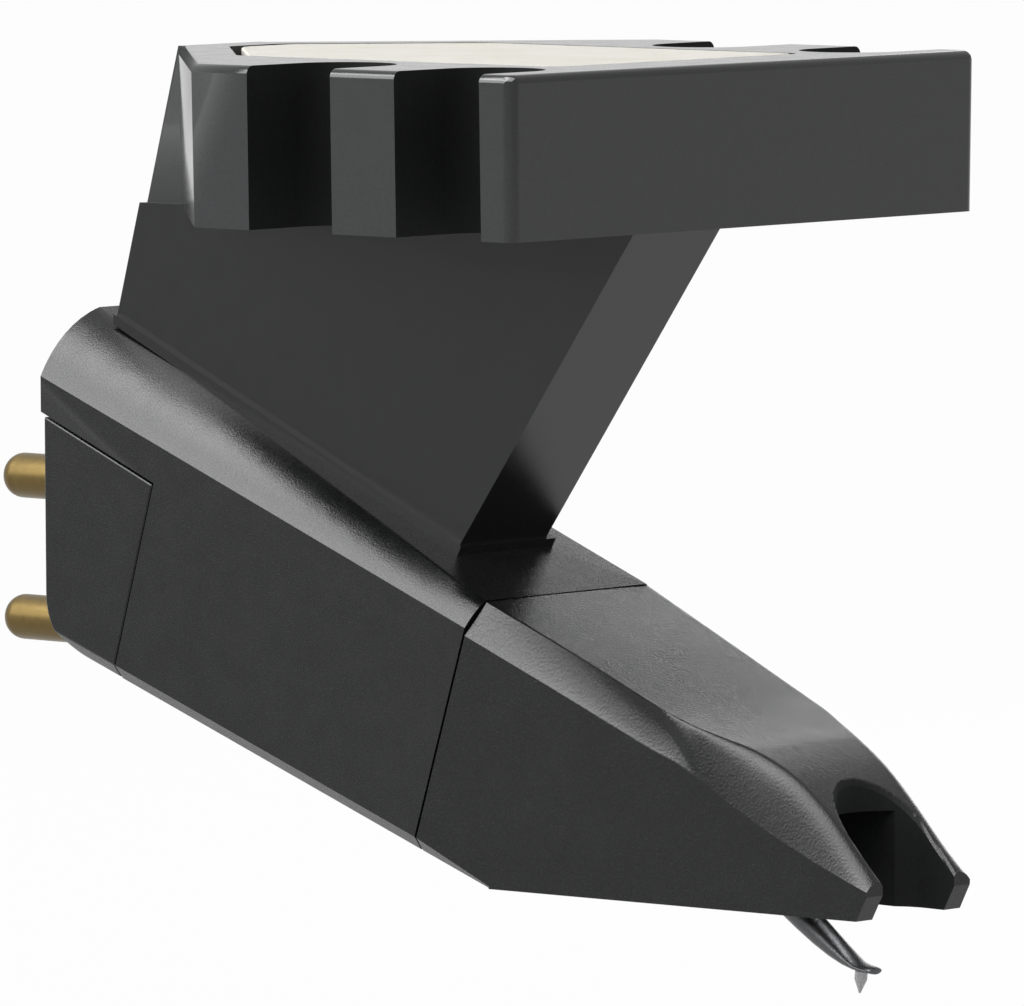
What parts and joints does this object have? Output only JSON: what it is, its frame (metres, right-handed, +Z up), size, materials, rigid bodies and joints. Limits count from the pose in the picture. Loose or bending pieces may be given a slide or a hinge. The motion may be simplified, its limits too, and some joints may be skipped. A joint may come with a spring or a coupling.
{
  "type": "turntable stylus cartridge",
  "caption": "Phono cartridge on a slotted half-inch mounting bracket, with a slanted moulded body, gold terminal pins and a pull-off stylus unit with a sprung cantilever.",
  "frame": {"origin": "middle of the mounting face, between the two rear screw slots", "axes": "+X to the stylus end, +Y to the left seen from above with the stylus end forward, +Z up out of the mounting face"},
  "size_m": [0.0277, 0.0162, 0.0214],
  "materials": {
    "housing_black": "fine grain",
    "stylus_black": "fine grain",
    "weight_metal": "satin",
    "gold_plate": "polished",
    "shield_metal": "satin",
    "pole_steel": "satin",
    "coil_copper": "enamelled wire",
    "former_plastic": "moulded",
    "damper_rubber": "matte",
    "magnet_grey": "ground",
    "cantilever_alloy": "satin",
    "diamond": "polished"
  },
  "bodies": {
    "body": {"mounting_bracket": "housing_black", "weight_plate": "weight_metal", "pedestal": "housing_black", "body_casing": "housing_black", "terminal_block": "housing_black", "shield_can": "shield_metal", "coil_former": "former_plastic", "pole_yoke": "pole_steel", "terminal_pin_left_upper": "gold_plate", "terminal_pin_left_lower": "gold_plate", "terminal_pin_right_upper": "gold_plate", "terminal_pin_right_lower": "gold_plate", "coil_left_upper": "coil_copper", "coil_right_upper": "coil_copper", "coil_right_lower": "coil_copper", "coil_left_lower": "coil_copper", "pole_pin_left_upper": "pole_steel", "pole_pin_right_upper": "pole_steel", "pole_pin_right_lower": "pole_steel", "pole_pin_left_lower": "pole_steel"},
    "stylus": {"stylus_holder": "stylus_black", "stylus_plug": "former_plastic", "tie_wire": "pole_steel", "stylus_pole_left_upper": "pole_steel", "stylus_pole_right_upper": "pole_steel", "stylus_pole_right_lower": "pole_steel", "stylus_pole_left_lower": "pole_steel"},
    "suspension": {"damper": "damper_rubber"},
    "needle": {"cantilever": "cantilever_alloy", "armature_magnet": "magnet_grey", "stylus_tip": "diamond"}
  },
  "joints": [
    {"name": "stylus_pull", "type": "slide", "parent": "body", "child": "stylus", "axis": [0.95, 0, -0.3123], "range_m": [0, 0.008]},
    {"name": "cantilever_sideways", "type": "hinge", "parent": "stylus", "child": "suspension", "pos_m": [0.00572, 0, -0.0174], "axis": [0.6018, 0, 0.7986], "range_deg": [-2.5, 2.5], "stiffness_Nm_per_rad": 0.003},
    {"name": "cantilever_lift", "type": "hinge", "parent": "suspension", "child": "needle", "pos_m": [0.00572, 0, -0.0174], "axis": [0, -1, 0], "range_deg": [-1.5, 4], "stiffness_Nm_per_rad": 0.003}
  ]
}
